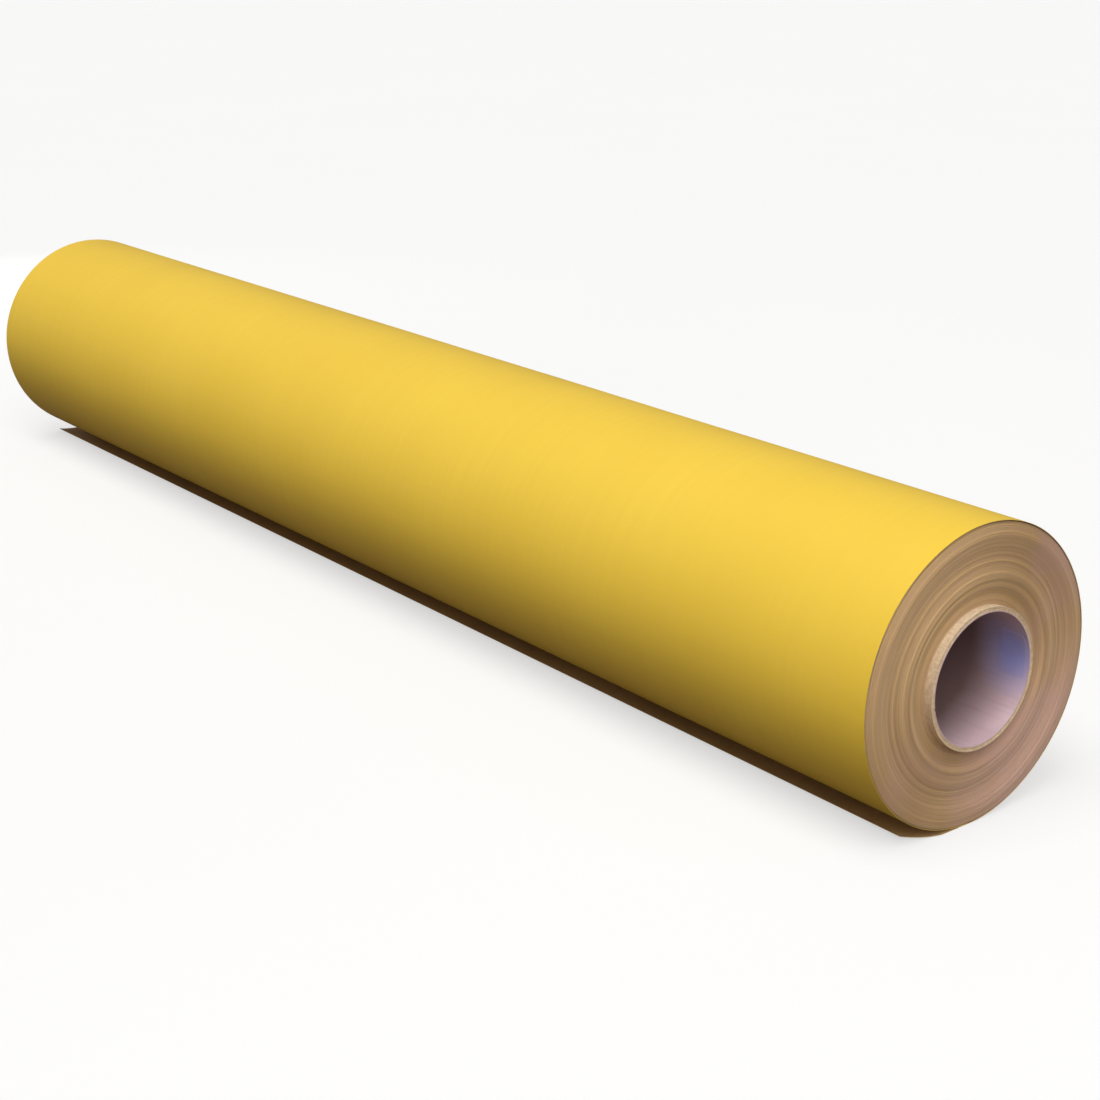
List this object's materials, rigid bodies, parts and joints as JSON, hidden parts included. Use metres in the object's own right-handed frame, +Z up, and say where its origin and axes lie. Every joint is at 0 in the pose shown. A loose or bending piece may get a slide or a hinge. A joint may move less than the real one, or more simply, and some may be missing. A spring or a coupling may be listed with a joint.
{
  "type": "roll of sign vinyl",
  "caption": "Roll of yellow self-adhesive sign vinyl wound on a paperboard core, lying on its side with the end of its web on the floor.",
  "frame": {"origin": "on the core's axis at the middle of its length, 87.5 mm above the floor that the roll lies on", "axes": "+X along the core towards the end with the label inside it, +Z up, and the web's free end lies towards -Y"},
  "size_m": [1.0776, 0.1748, 0.175],
  "materials": {
    "yellow_film": "satin calendered vinyl film, yellow",
    "adhesive": "clear pressure-sensitive adhesive",
    "liner_paper": "silicone-coated kraft release liner",
    "wound_edges": "slit edges of wound kraft liner and film",
    "core_board": "spiral-wound paperboard",
    "lining_paper": "smooth pale lilac-grey lining paper",
    "label_paper": "blank bluish paper label",
    "tape": "double-sided tissue tape"
  },
  "bodies": {
    "last_turn": {"last_turn_film": "yellow_film", "last_turn_adhesive": "adhesive", "last_turn_liner": "liner_paper"},
    "roll": {"core_label": "label_paper", "core_lining": "lining_paper", "core_ply_1": "core_board", "core_ply_2": "core_board", "core_ply_3": "core_board", "core_wrap": "core_board", "start_tab_left": "tape", "start_tab_middle": "tape", "start_tab_right": "tape", "wound_turns": "wound_edges"},
    "web_end": {"paid_out_film": "yellow_film", "paid_out_adhesive": "adhesive", "paid_out_liner": "liner_paper"},
    "free_edge": {"tail_film": "yellow_film", "tail_adhesive": "adhesive", "tail_liner_stuck": "liner_paper"},
    "free_liner": {"tail_liner_loose": "liner_paper"}
  },
  "joints": [
    {"name": "roll_turn", "type": "hinge", "parent": "last_turn", "child": "roll", "pos_m": [0, 0, 0], "axis": [-1, 0, 0], "range_deg": [0, 360]},
    {"name": "web_feed", "type": "slide", "parent": "last_turn", "child": "web_end", "axis": [0, -1, 0], "range_m": [0, 0.55], "deforming": ["paid_out_film", "paid_out_adhesive", "paid_out_liner"]},
    {"name": "tail_lift", "type": "hinge", "parent": "web_end", "child": "free_edge", "pos_m": [0, -0.018, -0.0875], "axis": [-1, 0, 0], "range_deg": [0, 8]},
    {"name": "liner_peel", "type": "hinge", "parent": "free_edge", "child": "free_liner", "pos_m": [0, -0.02599, -0.08704], "axis": [-1, 0, 0], "range_deg": [0, 8]}
  ],
  "couplings": [
    {"joint": "web_feed", "follows": "roll_turn", "m_per_rad": 0.0875}
  ]
}
